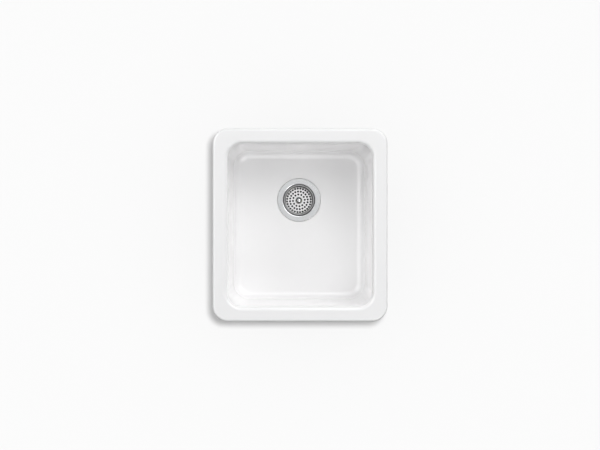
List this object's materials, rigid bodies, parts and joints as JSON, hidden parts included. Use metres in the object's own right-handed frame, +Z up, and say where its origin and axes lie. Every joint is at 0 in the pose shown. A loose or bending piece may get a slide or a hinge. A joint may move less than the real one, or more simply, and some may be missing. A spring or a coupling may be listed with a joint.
{
  "type": "single bowl kitchen sink",
  "caption": "Rectangular single bowl drop-in kitchen sink in white enamelled cast iron, with a lift-out basket strainer, sliding stopper and tailpiece.",
  "frame": {"origin": "middle of the rim's seat on the counter, in the plane of the counter's top", "axes": "+Z up, +Y to the back, where the drain is, +X to the right"},
  "size_m": [0.4318, 0.4762, 0.3938],
  "materials": {
    "enamelled_iron": "gloss",
    "plated_brass": "polished",
    "stainless": "satin",
    "cast_zinc": "satin",
    "raw_brass": "satin",
    "black_rubber": "matte",
    "putty": "matte",
    "fibre": "matte",
    "white_poly": "satin",
    "nylon": "gloss"
  },
  "bodies": {
    "sink": {"sink_bowl": "enamelled_iron", "drain_putty": "putty", "strainer_body": "plated_brass", "drain_gasket": "black_rubber", "friction_washer": "fibre", "lock_nut": "cast_zinc", "tailpiece_washer": "white_poly", "tailpiece": "plated_brass", "coupling_nut": "raw_brass"},
    "basket_core": {"stem_bush": "nylon", "bush_ring": "nylon", "grip_ring": "black_rubber"},
    "basket": {"basket_cup": "stainless"},
    "stopper": {"stem": "stainless", "stem_knob": "plated_brass", "backing_washer": "stainless", "rubber_stopper": "black_rubber", "stopper_nut": "stainless"}
  },
  "joints": [
    {"name": "basket_lift", "type": "slide", "parent": "sink", "child": "basket_core", "axis": [0, 0, 1], "range_m": [0, 0.27]},
    {"name": "basket_turn", "type": "hinge", "parent": "basket_core", "child": "basket", "pos_m": [0, 0.0667, -0.2325], "axis": [0, 0, 1], "continuous": true},
    {"name": "stopper_slide", "type": "slide", "parent": "basket_core", "child": "stopper", "axis": [0, 0, 1], "range_m": [-0.007, 0]}
  ]
}
